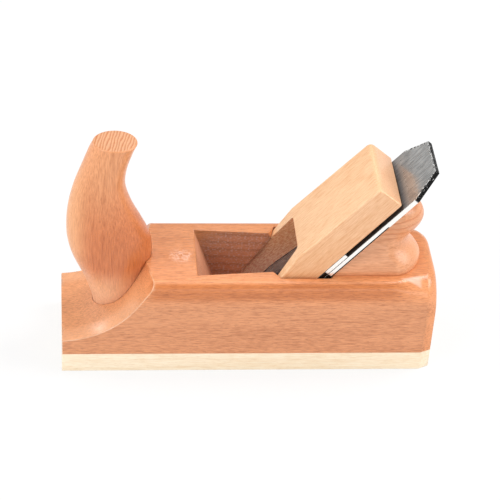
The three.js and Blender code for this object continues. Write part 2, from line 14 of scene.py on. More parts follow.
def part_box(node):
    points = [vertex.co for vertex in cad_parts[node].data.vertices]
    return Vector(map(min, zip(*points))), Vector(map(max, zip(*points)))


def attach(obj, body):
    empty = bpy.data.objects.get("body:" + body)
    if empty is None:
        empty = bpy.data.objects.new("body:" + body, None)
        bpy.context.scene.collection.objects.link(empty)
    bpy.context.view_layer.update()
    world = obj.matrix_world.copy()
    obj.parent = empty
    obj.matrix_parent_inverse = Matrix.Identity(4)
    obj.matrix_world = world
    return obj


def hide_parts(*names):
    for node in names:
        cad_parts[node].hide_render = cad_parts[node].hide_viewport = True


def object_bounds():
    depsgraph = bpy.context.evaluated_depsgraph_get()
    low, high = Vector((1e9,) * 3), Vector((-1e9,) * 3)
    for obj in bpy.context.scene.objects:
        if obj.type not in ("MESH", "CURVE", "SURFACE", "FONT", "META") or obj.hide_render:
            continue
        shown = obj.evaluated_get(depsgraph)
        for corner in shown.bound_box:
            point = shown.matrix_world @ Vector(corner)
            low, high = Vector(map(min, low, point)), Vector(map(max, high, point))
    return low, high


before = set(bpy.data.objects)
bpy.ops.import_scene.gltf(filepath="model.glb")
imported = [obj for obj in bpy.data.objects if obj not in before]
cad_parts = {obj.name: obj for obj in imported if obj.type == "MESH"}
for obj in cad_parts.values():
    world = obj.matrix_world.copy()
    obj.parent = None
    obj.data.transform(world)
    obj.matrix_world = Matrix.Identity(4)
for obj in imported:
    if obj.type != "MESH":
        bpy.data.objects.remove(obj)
cad_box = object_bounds()

# ---------------------------------------------------------------- sizes and places

MM = 0.001

# Camera: where it stands, how it is turned in degrees, and its lens in millimetres.
CAMERA_PLACE = (-0.1218, -0.9601, 0.8054)
CAMERA_YAW = 7.26  # from +Y towards +X
CAMERA_PITCH = 37.4  # down
CAMERA_ROLL = 4.44
CAMERA_LENS = 148.48

# Directions along and across the body, upwards, and along the blade's bed and off it.
ALONG_BODY = (1, 0, 0)
ACROSS_BODY = (0, 1, 0)
UPRIGHT = (0, 0, 1)
BED_ANGLE = math.radians(50)
UP_THE_BED = (math.cos(BED_ANGLE), 0, math.sin(BED_ANGLE))
OFF_THE_BED = (-math.sin(BED_ANGLE), 0, math.cos(BED_ANGLE))

# The body's ends, half its width, the height of its deck and the level of the sole's face.
stock_low, stock_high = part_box("stock")
TOE = stock_low.x
HEEL = stock_high.x
HALF_BODY = stock_high.y
DECK = stock_high.z
GROUND = 0.0


def band(start, low, high):
    """Two places, this many millimetres on from a start."""
    return start + low * MM, start + high * MM


# Which arrises are rounded: how near an end, a side or the deck they lie, where the well
# opens in the deck, the top of the glue joint's teeth, and what height still counts as the
# sole's face. The dowels' sockets lie within the half width.
NEAR_AN_END = HEEL - 10 * MM
NEAR_A_SIDE = HALF_BODY - 2.5 * MM
NEAR_THE_DECK = DECK - 4 * MM
WELL_FROM = -57 * MM
WELL_TO = 55 * MM
TEETH_TOP = 16.5 * MM
SOLE_FACE_TO = 1 * MM
SOCKETS_WITHIN = 15 * MM

# On the hand rest, the groove lies within the half width, and edges shorter than the next
# stay crisp. On the wedge, arrises are rounded past these distances from its middle, up the
# bed and off it.
GROOVE_WITHIN = 10 * MM
SHORT_EDGE = 1 * MM
WEDGE_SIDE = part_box("wedge")[1].y - 0.1 * MM
WEDGE_TIPS_PAST = 25 * MM
WEDGE_FRONT_PAST = 7 * MM

# Where the stock's finish and its painted light and shade change, each with the band that
# the change takes. A sideways face inside the well belongs to the throat, and its front wall
# ends over the middle.
WELL_EDGE = band(0, 25.1, 25.5)
FRONT_WALL_END = band(0, 0, 1)
ROUNDING_FOOT = band(DECK, -14, -8)
ROUNDING_INNER_SIDE = band(HALF_BODY, -6.5, -4.5)
ROUNDING_TOE_END = band(TOE, 48, 54)
ROUNDING_HEEL_END = band(HEEL, -32, -10)
DECK_EDGE = band(DECK, -4, -1)
DECK_FAR_HALF = band(0, -20, -5)
SIDE_SKIN = band(HALF_BODY, -1.5, -0.1)
SIDE_TOP = band(DECK, -18, -8)

# The hollow at the toe: where it ends, the painted highlight on its rim, the crest where it
# meets the deck, how far out it is dull, and how high up it shines, with a painted highlight,
# beside that.
HOLLOW_END = band(TOE, 40, 52)
RIM_END = band(TOE, 52, 54)
CREST_FOOT = band(DECK, -4, -2)
CREST_END = band(TOE, 54, 60)
DULL_HALF = band(0, 19, 27)
SHINE_TOP = band(DECK, -20, -12)

# The corners of the heel: the smooth band beside the hand rest, and the painted highlight that
# widens towards the heel's face from its start, about a middle half width.
CORNER_START = band(HEEL, -38, -22)
CORNER_INNER_SIDE = band(0, 12, 20)
CORNER_FOOT = band(DECK, -14, -6)
HEEL_HIGHLIGHT_START = HEEL - 25 * MM
HEEL_HIGHLIGHT_MIDDLE = 25.6 * MM
HEEL_HIGHLIGHT_SPREAD = 0.28
HEEL_HIGHLIGHT_EDGE = band(0, 0, 1.6)
HEEL_HIGHLIGHT_END = band(HEEL, -12, -9)
HEEL_HIGHLIGHT_FOOT = band(DECK, -12, -10)

# The patch rubbed smooth ahead of the throat: its middle, its radius, and the share of that
# at which it starts to fade.
RUBBED_SPOT = (-40.5 * MM, -4 * MM)
RUBBED_RADIUS = 9 * MM
RUBBED_CORE = 0.4

# The horn, hand rest and wedge: where their finishes and their painted light and shade change.
HORN_FOOT_TOP = band(GROUND, 35, 65)
BELLY_FOOT = band(GROUND, 45, 65)
BELLY_TOP = band(GROUND, 80, 135)
BELLY_FRONT = band(TOE, 0, 20)
BREAST_FOOT = band(GROUND, 45, 60)
BREAST_REAR = band(TOE, 4, 16)
KNOB_FOOT = band(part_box("hand_rest")[1].z, -23, -20)
PRONG_INNER_SIDE = band(0, 22.5, 22.9)
PRONG_DEEP = band(GROUND, 30, 66)
PRONG_LOW = band(GROUND, 70, 110)

# The bed's foot is where the bed meets the level of the floor, along X. Heights up the blade
# and off the bed are taken from there.
BED_CLEARANCE = 0.3 * MM
blade_corners = np.array([tuple(corner.co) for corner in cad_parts["iron"].data.vertices])
BED_FOOT = (BED_CLEARANCE - (blade_corners @ OFF_THE_BED).min()) / math.sin(BED_ANGLE)
FOOT_UP = BED_FOOT * UP_THE_BED[0]
FOOT_OFF = BED_FOOT * OFF_THE_BED[0]

# Heights up the blade: its long edges carry a painted reflection, near white, past the
# first; the painted line of shade along their lower corner ends at the second, where the
# hand rest leaves it; the wedge covers its face to the third; and its edges are black past
# the fourth. The line of shade covers the lower part of an edge, up to this band off the bed.
REFLECTION_PAST = 83 * MM
SHADED_TO = 130 * MM
COVERED_TO = 144.5 * MM
BLACK_PAST = 153 * MM
SHADE_EDGE = band(0, 1, 1.25)

# The iron's tapered top: its height up the blade, half its width, its shoulders, and how far
# in from their arris the chips reach.
IRON_TOP = 172 * MM
IRON_TOP_HALF = 15 * MM
SHOULDER_LENGTH = 17.5 * MM
SHOULDER_INSET = 9 * MM
CHIPS_REACH = band(0, 0.7, 1.3)

# Softened arrises, and the steps round each.
STOCK_ARRIS = 0.7 * MM
WEDGE_ARRIS = 1.2 * MM
SMALL_ARRIS = 0.4 * MM
STEEL_ARRIS = 0.18 * MM
HORN_TOP_ARRIS = 1.1 * MM
ARRIS_STEPS = 3

# Corners nearer than this are one corner, and faces within the first angle are one flat.
# Edges stay crisp past the second angle, and may be rounded past the third.
WELD = 1e-6
FLAT = math.radians(0.3)
CREASE = math.radians(30)
ARRIS_TURN = math.radians(40)

# Fineness of the horn, how far inside its ends it is first and last probed, and from how
# far off.
HORN_PROBES = 30
HORN_PROBE_INSET = 0.05 * MM
HORN_PROBED_FROM = 1.0
HORN_ROWS = 200
HORN_COLUMNS = 144
HORN_ARRIS_ROWS = 8

# How squarely a surface faces a direction, from where it begins to count to where it does.
SQUARE_ON = (0.6, 0.9)
FULL_ON = (0.8, 0.95)

# How fine the noise in wood and steel is, in cells to the metre along the grain or the
# scratches and across them.
DRIFT_CELLS = (9, 30)
FIBRE_CELLS = (160, 1700)
GRIT_CELLS = (450, 1500)
FLECK_CELLS = (330, 1700)
CLOUD_CELLS = (8, 60)
SCRATCH_CELLS = (90, 1000)
STEEL_CLOUD_CELLS = (90, 90)

# How much the fibres and the clouds shade wood, about its middle shade, and how much the
# scratches and the clouds shade steel. How metallic the steel is.
FIBRE_SHADE = 2.4
CLOUD_SHADE = 1.2
MIDDLE_SHADE = 0.3
SCRATCH_SHADE = 4.5
STEEL_CLOUD_SHADE = 0.9
STEEL_METALLIC = 0.7

# How thick the layers are that show in the throat, on top of the horn and on the hand rest.
THROAT_LAYER = 5.5 * MM
HORN_LAYER = 1.8 * MM
KNOB_LAYER = 4 * MM

# The floor reaches this far, and changes from paper near by, which glows by the share, to
# pure glow over the band.
FLOOR_REACH = 6.0
FLOOR_GLOW_BAND = (0.4, 0.9)
FLOOR_NEAR_GLOW = 0.75

# Light: how strong the world's even light is, and the soft lamps with their places, widths,
# heights and watts.
WHITE = (1, 1, 1, 1)
AMBIENT = 0.54
LAMPS = (
    ("top_box", (0.0, 0.35, 1.9), 1.3, 1.0, 5.5),
    ("left_box", (-1.6, -0.2, 0.9), 1.0, 0.8, 6.5),
    ("left_front_box", (-1.25, -0.9, 1.15), 1.0, 1.0, 9),
    ("front_box", (0.5, -1.6, 0.5), 1.4, 0.6, 4),
    ("right_box", (1.6, -0.2, 0.9), 1.0, 0.8, 11),
    ("back_box", (0.1, 1.6, 1.3), 0.2, 0.2, 0.5),
    ("left_back_box", (-1.2, 1.2, 1.0), 0.3, 0.3, 2.5),
    ("right_back_box", (0.8, 0.3, 1.4), 0.4, 0.9, 8),
)

# The sockets of a Mix node that mixes colours.
MIX_SHARE, MIX_FIRST, MIX_SECOND, MIX_RESULT = 0, 6, 7, 2


# ---------------------------------------------------------------- finishes

def tone(code):
    """A colour written as #rrggbb, as the linear numbers that a shader takes."""
    parts = np.array([int(code[k:k + 2], 16) for k in (1, 3, 5)]) / 255
    linear = np.where(parts <= 0.04045, parts / 12.92, ((parts + 0.055) / 1.055) ** 2.4)
    return (*linear.tolist(), 1.0)


class Grade:
    """An output of a node. Where it is a number, sums and products of it add Math nodes."""

    def __init__(self, nodes, socket):
        self.nodes = nodes
        self.socket = socket

    def _math(self, operation, first, second):
        return self.nodes.node("ShaderNodeMath", {"operation": operation}, {0: first, 1: second})

    def __add__(self, other):
        return self._math("ADD", self, other)

    def __radd__(self, other):
        return self._math("ADD", other, self)

    def __sub__(self, other):
        return self._math("SUBTRACT", self, other)

    def __rsub__(self, other):
        return self._math("SUBTRACT", other, self)

    def __mul__(self, other):
        return self._math("MULTIPLY", self, other)

    def __rmul__(self, other):
        return self._math("MULTIPLY", other, self)

    def __truediv__(self, other):
        return self._math("DIVIDE", self, other)

    def __pow__(self, other):
        return self._math("POWER", self, other)

    def part(self):
        """What is left of it past the whole number below."""
        return self._math("FRACT", self, 0)

    def size(self):
        """It without its sign."""
        return self._math("ABSOLUTE", self, 0)

    def least(self, other):
        return self._math("MINIMUM", self, other)

    def most(self, other):
        return self._math("MAXIMUM", self, other)

    def step(self, low, high):
        """0 below low and 1 above high, with a smooth rise between them."""
        settings = {"interpolation_type": "SMOOTHSTEP"}
        return self.nodes.node("ShaderNodeMapRange", settings, {0: self, 1: low, 2: high})

    def fall(self, low, high):
        """1 below low and 0 above high."""
        return 1 - self.step(low, high)

    def between(self, rise, drop):
        """1 between two bands, and 0 below the first and above the second."""
        return self.step(*rise) * self.fall(*drop)


class Nodes:
    """A tree of shader nodes while it is laid."""

    def __init__(self, tree):
        self.tree = tree

    def node(self, kind, settings=None, sockets=None, out=0):
        """A node of this type: settings first, then the values or links of its sockets."""
        made = self.tree.nodes.new(kind)
        for setting, value in (settings or {}).items():
            setattr(made, setting, value)
        for socket, value in (sockets or {}).items():
            self.feed(made.inputs[socket], value)
        return Grade(self, made.outputs[out])

    def feed(self, socket, value):
        """Gives a socket a value, or links it where the value varies."""
        if isinstance(value, Grade):
            self.tree.links.new(value.socket, socket)
        elif isinstance(value, bpy.types.NodeSocket):
            self.tree.links.new(value, socket)
        else:
            socket.default_value = value


class Finish(Nodes):
    """A material while its nodes are laid: what a piece is made of and how it was worked."""

    def __init__(self, name, constants):
        self.material = bpy.data.materials.new(name)
        self.material.use_nodes = True
        super().__init__(self.material.node_tree)
        self.shader = self.tree.nodes["Principled BSDF"]
        for socket, value in constants.items():
            self.give(socket, value)
        place = self.tree.nodes.new("ShaderNodeTexCoord")
        self.place = place.outputs["Object"]
        self.facing = place.outputs["Normal"]
        self.colour = None
        self.roughness = None

    def give(self, socket, value):
        """Gives one of the shader's own sockets a value or a link."""
        self.feed(self.shader.inputs[socket], value)

    def paint(self, colour):
        """Sets the colour, and keeps it to be painted over."""
        self.colour = colour
        self.give("Base Color", colour)

    def polish(self, roughness):
        """Sets the roughness, and keeps it to be worked on."""
        self.roughness = roughness
        self.give("Roughness", roughness)

    def mix(self, share, first, second, blend="MIX"):
        """The first colour at share 0, and the second laid over it in full at 1."""
        settings = {"data_type": "RGBA", "blend_type": blend}
        sockets = {MIX_SHARE: share, MIX_FIRST: first, MIX_SECOND: second}
        return self.node("ShaderNodeMix", settings, sockets, MIX_RESULT)

    def tint(self, share, code, blend="MULTIPLY"):
        """Lays a colour over what is painted so far, by a share that varies."""
        self.paint(self.mix(share, self.colour, tone(code), blend))

    def cover(self, share, code):
        """Hides what is painted so far under a colour, by a share that varies."""
        self.tint(share, code, "MIX")

    def _dot(self, vector, direction):
        sockets = {0: vector, 1: direction}
        return self.node("ShaderNodeVectorMath", {"operation": "DOT_PRODUCT"}, sockets, "Value")

    def along(self, direction):
        """How far a point lies in a direction, in metres."""
        return self._dot(self.place, direction)

    def turned_to(self, direction):
        """How squarely the surface faces a direction, from -1 to 1."""
        return self._dot(self.facing, direction)

    # How far a point lies along the body, across it and up.

    @cached_property
    def x(self):
        return self.along(ALONG_BODY)

    @cached_property
    def y(self):
        return self.along(ACROSS_BODY)

    @cached_property
    def z(self):
        return self.along(UPRIGHT)

    @cached_property
    def sideways(self):
        """1 where the surface faces left or right, and 0 where it faces another way."""
        return self.turned_to(ACROSS_BODY).size().step(*SQUARE_ON)

    def point(self, x, y, z):
        return self.node("ShaderNodeCombineXYZ", None, {0: x, 1: y, 2: z})

    def noise(self, point, detail=2.0, roughness=0.5):
        """Noise from 0 to 1, one cell to each unit of the point."""
        sockets = {"Vector": point, "Scale": 1.0, "Detail": detail, "Roughness": roughness}
        return self.node("ShaderNodeTexNoise", None, sockets)

    def bump(self, height, strength, depth):
        sockets = {"Height": height, "Strength": strength, "Distance": depth}
        self.give("Normal", self.node("ShaderNodeBump", None, sockets))


def wood(name, grain, stack, tones, ring=6 * MM, pith=0.15, rings=0.3, flecks=0.35, mottle=0.8,
         sheen=0.3, length=1.0):
    """Planed and oiled wood, figured through its whole thickness.

    u runs along the grain, w across the growth rings and v between them. The rings are
    cylinders about a pith: their radius is the root of v^2 + (w + pith)^2, plus slow noise,
    and each darkens as its share of a ring's width nears 1. Fibres are noise drawn out along
    u, and length draws them out further. Flecks are the peaks of a shorter noise. rings,
    flecks and mottle say how strongly each of them shows.
    """
    pale, late, fleck = tones
    across = np.cross(stack, grain).tolist()
    finish = Finish(name, {"Specular IOR Level": 0.6})
    u = finish.along(grain)
    v = finish.along(across)
    w = finish.along(stack)

    def cells(counts, drawn_out=1.0):
        """A point that crosses this many cells in a metre, fewer where it is drawn out."""
        along, over = counts
        return finish.point(u * (along / drawn_out), v * over, w * over)

    drift = finish.noise(cells(DRIFT_CELLS)) - 0.5
    radius = (v * v + (w + pith) * (w + pith)) ** 0.5 + drift * (1.1 * ring)
    uneven = finish.noise(finish.point(0, 0, radius / ring * 0.45), detail=1) - 0.5
    share = (radius / ring + uneven * 1.6).part()
    faint = finish.noise(finish.point(u * 30, v * 60, radius * 260), detail=1).step(0.35, 0.65)
    late_wood = (share ** 4) * share.fall(0.9, 1.0) * faint

    fibre = finish.noise(cells(FIBRE_CELLS, length), roughness=0.6) - 0.5
    grit = finish.noise(cells(GRIT_CELLS, length)) - 0.5
    dash = finish.noise(cells(FLECK_CELLS), detail=1).step(0.6, 0.7)
    cloud = finish.noise(cells(CLOUD_CELLS)) - 0.5

    figure = (fibre + grit) * FIBRE_SHADE + cloud * CLOUD_SHADE
    shade = late_wood * rings + figure * mottle + MIDDLE_SHADE
    finish.paint(finish.mix(shade.most(0).least(1), tone(pale), tone(late)))
    finish.cover(dash * flecks, fleck)
    finish.polish(fibre * 0.25 + dash * 0.1 + sheen)
    finish.bump(fibre - dash * 0.5, 0.25, 0.06 * MM)
    return finish


def brushed_steel(name, ground, sheen=0.25, bright_past=None):
    """Ground steel: fine scratches drawn out up the blade over faint grey clouds.

    Where bright_past is given, the long edges are painted near white from that height up the
    blade, a painted reflection, and painted black below it, as shade.
    """
    dark, light = (tone(code) for code in ground)
    finish = Finish(name, {"Metallic": STEEL_METALLIC})
    u, v = finish.along(UP_THE_BED), finish.y

    def cells(along, over):
        """A point that crosses this many cells in a metre up the blade and across it."""
        return finish.point(u * along, v * over, 0)

    scratch = finish.noise(cells(*SCRATCH_CELLS), detail=4, roughness=0.8)
    cloud = finish.noise(cells(*STEEL_CLOUD_CELLS), detail=3)
    shade = (scratch - 0.5) * SCRATCH_SHADE + (cloud - 0.5) * STEEL_CLOUD_SHADE + 0.5
    finish.paint(finish.mix(shade.most(0).least(1), dark, light))
    if bright_past:
        # Painted shade: the long edges are black.
        finish.cover(finish.sideways, "#16110f")
        # Painted reflection: the long edges are near white past bright_past.
        edge_reflection = finish.sideways * (u - FOOT_UP).step(*band(bright_past, 0, 1))
        finish.cover(edge_reflection, "#fbf8f4")
    finish.polish((scratch - 0.5) * 0.2 + sheen)
    finish.bump(scratch, 0.3, 0.02 * MM)
    return finish


# ---------------------------------------------------------------- pieces

def piece(name, mesh, finish, body, node):
    """Puts a finished mesh in the scene: it rides on a body and stands for this CAD piece."""
    made = bpy.data.objects.new(name, mesh)
    bpy.context.scene.collection.objects.link(made)
    mesh.materials.clear()
    mesh.materials.append(finish.material)
    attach(made, body)
    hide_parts(node)
    return made


def grid_mesh(name, points):
    """A closed skin over rows of points that close round on themselves.

    points[i, j] is point j of row i. The first and the last row have shrunk to one point.
    """
    rows, columns = points.shape[:2]
    i, j = np.meshgrid(np.arange(rows - 1), np.arange(columns), indexing="ij")
    k = (j + 1) % columns
    corners = (i * columns + j, i * columns + k, (i + 1) * columns + k, (i + 1) * columns + j)
    faces = np.stack(corners, axis=-1).reshape(-1, 4)
    mesh = bpy.data.meshes.new(name)
    mesh.from_pydata(points.reshape(-1, 3).tolist(), [], faces.tolist())
    shape = bmesh.new()
    shape.from_mesh(mesh)
    bmesh.ops.remove_doubles(shape, verts=shape.verts, dist=WELD)
    bmesh.ops.recalc_face_normals(shape, faces=shape.faces)
    shape.to_mesh(mesh)
    shape.free()
    mesh.shade_smooth()
    return mesh


def welded(node):
    """A CAD piece's own skin, with its corners merged and the triangles of each flat joined."""
    shape = bmesh.new()
    shape.from_mesh(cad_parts[node].data)
    bmesh.ops.remove_doubles(shape, verts=shape.verts, dist=WELD)
    bmesh.ops.dissolve_limit(shape, angle_limit=FLAT, verts=shape.verts, edges=shape.edges)
    mesh = bpy.data.meshes.new(node + "_skin")
    shape.to_mesh(mesh)
    shape.free()
    mesh.shade_smooth()
    return mesh


def column(items, field, width=1, kind=float):
    """One field of all of a mesh's items, as an array."""
    values = np.empty(len(items) * width, kind)
    items.foreach_get(field, values)
    return values.reshape(-1, width) if width > 1 else values


def edge_turns(mesh):
    """How far the two faces at each edge turn from each other, above 0 where the edge stands
    proud, with the places of the edge's two ends.

    The turn is the angle between the faces' normals. The edge stands proud where the second
    face's normal leans away from the first face's inside, which is that face's normal
    crossed with the edge, taken the way round the face runs.
    """
    edge_of = column(mesh.loops, "edge_index", kind=int)
    starts = column(mesh.loops, "vertex_index", kind=int)
    face_of = np.repeat(np.arange(len(mesh.polygons)), column(mesh.polygons, "loop_total", kind=int))
    order = np.argsort(edge_of, kind="stable").reshape(-1, 2)
    normals = column(mesh.polygons, "normal", 3)[face_of[order]]
    ends = column(mesh.edges, "vertices", 2, int)
    places = column(mesh.vertices, "co", 3)[ends]
    runs = places[:, 1] - places[:, 0]
    runs[starts[order[:, 0]] != ends[:, 0]] *= -1
    inward = np.cross(normals[:, 0], runs)
    turn = np.arccos(np.clip((normals[:, 0] * normals[:, 1]).sum(axis=1), -1, 1))
    proud = (normals[:, 1] * inward).sum(axis=1) < 0
    return np.where(proud, turn, -turn), places


def dressed(name, node, finish, body, width, weigh=None):
    """A CAD piece's own skin with its arrises rounded and its other corners left crisp.

    weigh takes the two ends of every edge and gives each its share of the width.
    """
    mesh = welded(node)
    turns, places = edge_turns(mesh)
    share = 1.0 if weigh is None else weigh(places)
    weights = np.where(turns > ARRIS_TURN, share, 0)
    rounded = mesh.attributes.new("bevel_weight_edge", "FLOAT", "EDGE")
    rounded.data.foreach_set("value", weights)
    crisp = mesh.attributes.new("sharp_edge", "BOOLEAN", "EDGE")
    crisp.data.foreach_set("value", (np.abs(turns) > CREASE) & (weights == 0))
    made = piece(name, mesh, finish, body, node)
    bevel = made.modifiers.new("arris", "BEVEL")
    bevel.width = width
    bevel.segments = ARRIS_STEPS
    bevel.limit_method = "WEIGHT"
    bevel.use_clamp_overlap = False
    evened = made.modifiers.new("flats", "WEIGHTED_NORMAL")
    evened.keep_sharp = True
    return made


def toe_corners(places):
    """Which edges are the toe's two upright corners."""
    x, y = places[..., 0], places[..., 1]
    return (x.max(axis=1) < -NEAR_AN_END) & (np.abs(y).min(axis=1) > NEAR_A_SIDE)


def stock_arrises(places):
    """Every arris that shows: not the glue joint, the sockets, the groove or the heel's cuts."""
    x, y, z = (places[..., k] for k in range(3))
    outside = (np.abs(y).min(axis=1) > SOCKETS_WITHIN) & (x.max(axis=1) < NEAR_AN_END)
    well = (x.min(axis=1) > WELL_FROM) & (x.max(axis=1) < WELL_TO)
    shown = (outside | well & (z.min(axis=1) > NEAR_THE_DECK)) & (z.min(axis=1) > TEETH_TOP)
    return np.where(shown | toe_corners(places) & (z.max(axis=1) > TEETH_TOP), 1.0, 0.0)


def sole_arrises(places):
    """The arrises round the sole face, without the mouth's, and the toe's upright corners."""
    x, y, z = (np.abs(places[..., k]) for k in range(3))
    rim = (x.min(axis=1) > NEAR_AN_END) | (y.min(axis=1) > NEAR_A_SIDE)
    low = toe_corners(places) & (z.min(axis=1) < SOLE_FACE_TO)
    return np.where(rim & (z.max(axis=1) < SOLE_FACE_TO) | low, 1.0, 0.0)


def rest_arrises(places):
    """The arrises of the hand rest but for those of the groove up its front."""
    outer = np.abs(places[..., 1]).min(axis=1) > GROOVE_WITHIN
    return np.where(outer & (np.ptp(places, axis=1).max(axis=1) > SHORT_EDGE), 1.0, 0.0)


def wedge_arrises(places):
    """The outer arrises of the wedge's front, from the end down to the prongs' tips."""
    up = places @ np.array(UP_THE_BED) - FOOT_UP
    off = places @ np.array(OFF_THE_BED) - FOOT_OFF
    outer = (np.abs(places[..., 1]).min(axis=1) > WEDGE_SIDE) & (up.min(axis=1) > WEDGE_TIPS_PAST)
    return np.where(outer & (off.max(axis=1) > WEDGE_FRONT_PAST), 1.0, 0.0)


def hits(node, origins, direction):
    """Where rays from these places first meet a CAD piece."""
    tree = BVHTree.FromObject(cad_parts[node], bpy.context.evaluated_depsgraph_get())
    found = [tree.ray_cast(Vector(origin), Vector(direction))[0] for origin in origins]
    return np.array([tuple(place) for place in found])


def curve(xs, ys, at):
    """A smooth line through the points (xs, ys), read at other places along x.

    Between two points it is the cubic whose end slopes are those of the points about it.
    """
    slopes = np.gradient(ys, xs)
    low = np.clip(np.searchsorted(xs, at) - 1, 0, len(xs) - 2)
    run = xs[low + 1] - xs[low]
    t = (at - xs[low]) / run
    ahead = ys[low] * (1 + 2 * t) * (1 - t) ** 2 + ys[low + 1] * t * t * (3 - 2 * t)
    return ahead + run * (slopes[low] * t * (1 - t) ** 2 - slopes[low + 1] * t * t * (1 - t))


def horn_mesh():
    """The horn: an ellipse at each height, as long and as wide as the CAD piece is there.

    Row i has the height z, and its point j lies at angle a on the ellipse: middle + long
    cos a along X, wide sin a along Y. Over the top arris, z rises by the sine of a quarter
    turn while both radii shrink by its cosine.
    """
    low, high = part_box("horn")
    far = HORN_PROBED_FROM
    top = high.z - HORN_TOP_ARRIS
    probed = np.linspace(low.z + HORN_PROBE_INSET, top - HORN_PROBE_INSET, HORN_PROBES)
    front = hits("horn", [(-far, 0, z) for z in probed], ALONG_BODY)[:, 0]
    rear = hits("horn", [(far, 0, z) for z in probed], -Vector(ALONG_BODY))[:, 0]
    middles = (front + rear) / 2
    sides = hits("horn", [(x, -far, z) for x, z in zip(middles, probed)], ACROSS_BODY)[:, 1]

    heights = np.linspace(low.z, top, HORN_ROWS)
    inset = np.zeros(HORN_ROWS)
    turn = np.linspace(0, math.pi / 2, HORN_ARRIS_ROWS + 1)[1:]
    heights = np.append(heights, top + HORN_TOP_ARRIS * np.sin(turn))
    inset = np.append(inset, HORN_TOP_ARRIS * (1 - np.cos(turn)))
    level = np.minimum(heights, top)
    middle = curve(probed, middles, level)
    long = curve(probed, (rear - front) / 2, level) - inset
    wide = curve(probed, -sides, level) - inset

    around = np.linspace(0, 2 * math.pi, HORN_COLUMNS, endpoint=False)
    share = np.concatenate([[0], np.ones(len(heights)), [0.75, 0.5, 0.25, 0]])
    rows = np.concatenate([[0], np.arange(len(heights)), [len(heights) - 1] * 4])
    x = middle[rows, None] + (share * long[rows])[:, None] * np.cos(around)
    y = (share * wide[rows])[:, None] * np.sin(around)
    z = np.broadcast_to(heights[rows, None], x.shape)
    return grid_mesh("horn_form", np.stack([x, y, z], axis=-1))


# ---------------------------------------------------------------- the object

def stock_wood():
    """Beech for the body: painted shade on the cheeks of the throat, painted light on its front
    wall, and rubbed smooth in a patch ahead of it."""
    finish = wood("steamed_beech", ALONG_BODY, UPRIGHT, ("#ee9f6a", "#c27647", "#a35c33"),
                  rings=0.12, length=2.2)
    colour_throat(finish)
    colour_deck(finish)
    hollow = finish.x.fall(*HOLLOW_END) * (1 - finish.sideways)
    finish.cover(hollow * 0.12, "#cac9a7")
    paint_rim_highlight(finish)
    # Painted cool sheen: the lower sides of the body are tinted bluish.
    finish.tint(finish.y.size().step(*SIDE_SKIN) * finish.z.fall(*SIDE_TOP), "#f0f5ff")
    wear_and_paint_light(finish, hollow)
    return finish


def colour_throat(finish):
    """The throat's walls: the cheeks darkened with painted shade, with their layers and the marks
    of the saw, and the front wall brightened with painted light."""
    x, y, z = finish.x, finish.y, finish.z
    inside = y.size().fall(*WELL_EDGE)
    cheek = inside * finish.sideways
    layer = (z / THROAT_LAYER + finish.noise(finish.point(x * 60, 0, 0)) * 1.5).part()
    patch_noise = finish.noise(finish.point(x * 700, 0, z * 1100))
    # Painted shade: the cheeks of the throat are darkened by half.
    finish.cover(cheek * 0.5, "#cc9480")
    finish.tint(cheek * layer.step(0.5, 0.9) * 0.3, "#a8948c")
    finish.cover(cheek * patch_noise.step(0.54, 0.62) * 0.6, "#e0c0b2")
    # Painted light: the front wall of the well is brightened.
    heelward = finish.turned_to(ALONG_BODY).step(0.7, 0.9)
    finish.cover(inside * heelward * x.fall(*FRONT_WALL_END), "#fbb48e")


def colour_deck(finish):
    """Painted shade that tones down sheen: the roundings along the deck, greyer than the deck, and
    the deck's far half.
    """
    x, y, z = finish.x, finish.y, finish.z
    leaning = finish.turned_to(UPRIGHT).fall(0.75, 0.98)
    rounding = z.step(*ROUNDING_FOOT) * leaning * x.step(*ROUNDING_TOE_END)
    outer = y.size().step(*ROUNDING_INNER_SIDE)
    # Painted shade: the roundings are tinted greyer where they catch less sheen than the deck.
    finish.tint(rounding * outer * x.fall(*ROUNDING_HEEL_END), "#e2ceb2")
    # Painted shade: the deck's far half is tinted warmer, toning down its sheen.
    finish.tint(z.step(*DECK_EDGE) * y.step(*DECK_FAR_HALF), "#f6f3ea")


def paint_rim_highlight(finish):
    """A painted highlight, varied in strength by noise, round the rim of the hollow and over its
    crest.
    """
    x, y, z = finish.x, finish.y, finish.z
    across = finish.turned_to(ACROSS_BODY).size()
    rim = across.between((0.4, 0.5), (0.88, 0.95)) * x.fall(*RIM_END)
    ahead = (finish.turned_to(ALONG_BODY) * -1).step(0.25, 0.35)
    upward = finish.turned_to(UPRIGHT).step(0.6, 0.7)
    crest = ahead * upward * z.step(*CREST_FOOT) * x.fall(*CREST_END)
    highlight_strength = finish.noise(finish.point(x * 90, y * 90, z * 90)).step(0.35, 0.65)
    # Painted highlight along the hollow's rim and crest, its strength varied by noise.
    finish.cover(rim.most(crest) * (highlight_strength * 0.35 + 0.15), "#ffdcb8")


